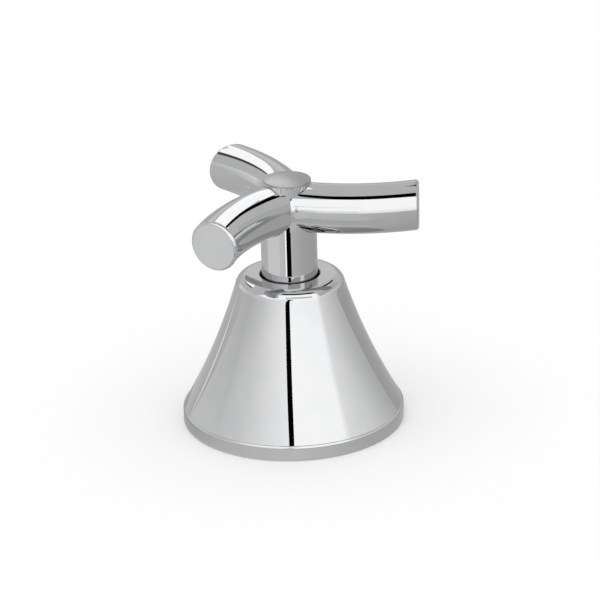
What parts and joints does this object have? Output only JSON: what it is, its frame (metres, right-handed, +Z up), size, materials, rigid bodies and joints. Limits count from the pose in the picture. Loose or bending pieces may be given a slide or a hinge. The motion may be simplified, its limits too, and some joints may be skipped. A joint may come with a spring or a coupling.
{
  "type": "replacement tap handle",
  "caption": "Chrome tap handle with curved round arms on a short stem, a domed index button, and a hollow conical flange that covers the tap body while the handle turns in it.",
  "frame": {"origin": "centre of the flange's base plane, on the spindle axis", "axes": "+Z up along the spindle axis, out of the wall or basin; +X through the end of the first arm"},
  "size_m": [0.0602, 0.0618, 0.0642],
  "materials": {
    "polished_chrome": "polished",
    "seal_rubber": "matte",
    "black_acetal": "satin",
    "machined_brass": "satin",
    "stainless_steel": "satin"
  },
  "bodies": {
    "fixed_flange": {"flange": "polished_chrome", "base_seal": "seal_rubber", "guide_bush": "black_acetal"},
    "turning_handle": {"handle": "polished_chrome", "spline_bush": "machined_brass", "spring_washer": "stainless_steel", "fixing_screw": "stainless_steel", "index_button": "polished_chrome", "button_o_ring": "seal_rubber"}
  },
  "joints": [
    {"name": "handle_turn", "type": "hinge", "parent": "fixed_flange", "child": "turning_handle", "pos_m": [0, 0, 0.033], "axis": [0, 0, 1], "continuous": true}
  ]
}
